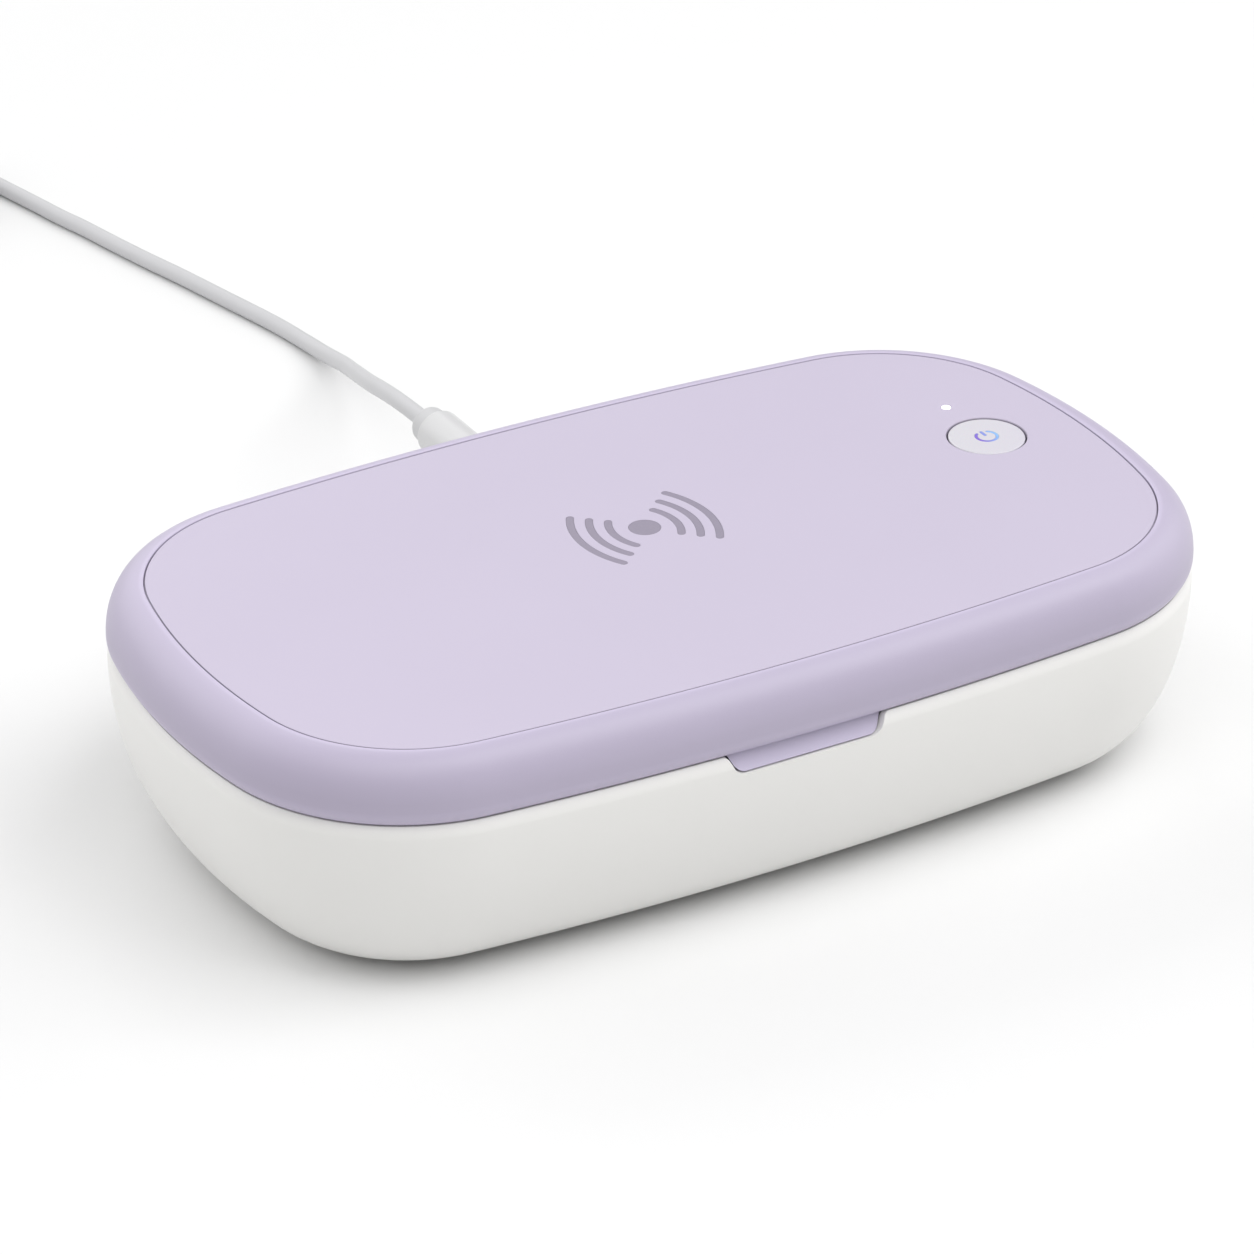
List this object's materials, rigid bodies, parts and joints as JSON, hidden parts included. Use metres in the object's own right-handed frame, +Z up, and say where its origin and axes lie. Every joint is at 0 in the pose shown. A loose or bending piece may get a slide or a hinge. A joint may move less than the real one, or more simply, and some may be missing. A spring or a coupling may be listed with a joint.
{
  "type": "uv sanitizer box for phones",
  "caption": "Low rounded ultraviolet sanitizer box for a phone, with a hinged lid that charges wirelessly, a push button and a supply lead.",
  "frame": {"origin": "middle of the body's footprint, on the surface that its feet stand on", "axes": "+X along the body's length towards the button, +Y towards the hinges and the supply lead, +Z up"},
  "size_m": [0.22, 0.4373, 0.053],
  "materials": {
    "base_white": "satin",
    "lid_lavender": "satin",
    "panel_lavender": "fine matte",
    "liner_lavender": "satin",
    "tray_silver": "metallised gloss",
    "symbol_ink": "matte ink",
    "button_pearl": "pearl gloss",
    "button_ink": "matte ink",
    "rubber_grey": "matte",
    "seal_silicone": "matte",
    "rail_silicone": "soft translucent",
    "steel": "zinc plated",
    "nickel": "nickel plated",
    "board_green": "solder mask",
    "chip_black": "moulded",
    "lamp_chip": "gloss",
    "clear_window": "clear",
    "copper": "enamelled wire",
    "ferrite": "matte",
    "harness_black": "satin",
    "cord_jacket": "satin",
    "plug_plastic": "satin",
    "tie_grey": "satin"
  },
  "bodies": {
    "base": {"base_shell": "base_white", "rubber_feet": "rubber_grey", "base_screws": "steel", "base_tray": "tray_silver", "phone_rests": "rail_silicone", "lower_lamp_boards": "board_green", "lower_uv_lamps": "lamp_chip", "lower_lamp_windows": "clear_window", "main_board": "board_green", "main_board_chips": "chip_black", "hall_sensor": "chip_black", "board_screws": "steel", "usb_socket": "nickel", "base_magnets": "nickel", "hinge_pins": "steel", "base_lead": "harness_black", "usb_plug_tongue": "nickel", "usb_plug_body": "plug_plastic", "strain_relief": "plug_plastic", "cord_run": "cord_jacket", "cord_coil": "cord_jacket", "cord_tail": "cord_jacket", "cord_tie": "tie_grey", "usb_a_plug_body": "plug_plastic", "usb_a_plug_shell": "nickel", "usb_a_plug_tongue": "plug_plastic"},
    "lid": {"lid_shell": "lid_lavender", "lid_top_panel": "panel_lavender", "wireless_symbol": "symbol_ink", "lid_liner": "liner_lavender", "lid_screws": "steel", "lid_gasket": "seal_silicone", "lid_magnets": "nickel", "interlock_magnet": "nickel", "upper_lamp_boards": "board_green", "upper_uv_lamps": "lamp_chip", "upper_lamp_windows": "clear_window", "charging_winding": "copper", "ferrite_disc": "ferrite", "charging_board": "board_green", "charger_screws": "steel", "button_board": "board_green", "tact_switch": "chip_black", "status_led": "lamp_chip", "led_lens": "clear_window", "lid_lead": "harness_black"},
    "button": {"button_cap": "button_pearl", "button_symbol": "button_ink", "switch_plunger": "chip_black"}
  },
  "joints": [
    {"name": "lid_hinge", "type": "hinge", "parent": "base", "child": "lid", "pos_m": [0, 0.0605, 0.04], "axis": [-1, 0, 0], "range_deg": [0, 95]},
    {"name": "power_button", "type": "slide", "parent": "lid", "child": "button", "axis": [0, 0, -1], "range_m": [0, 0.0005], "stiffness_N_per_m": 2500}
  ]
}
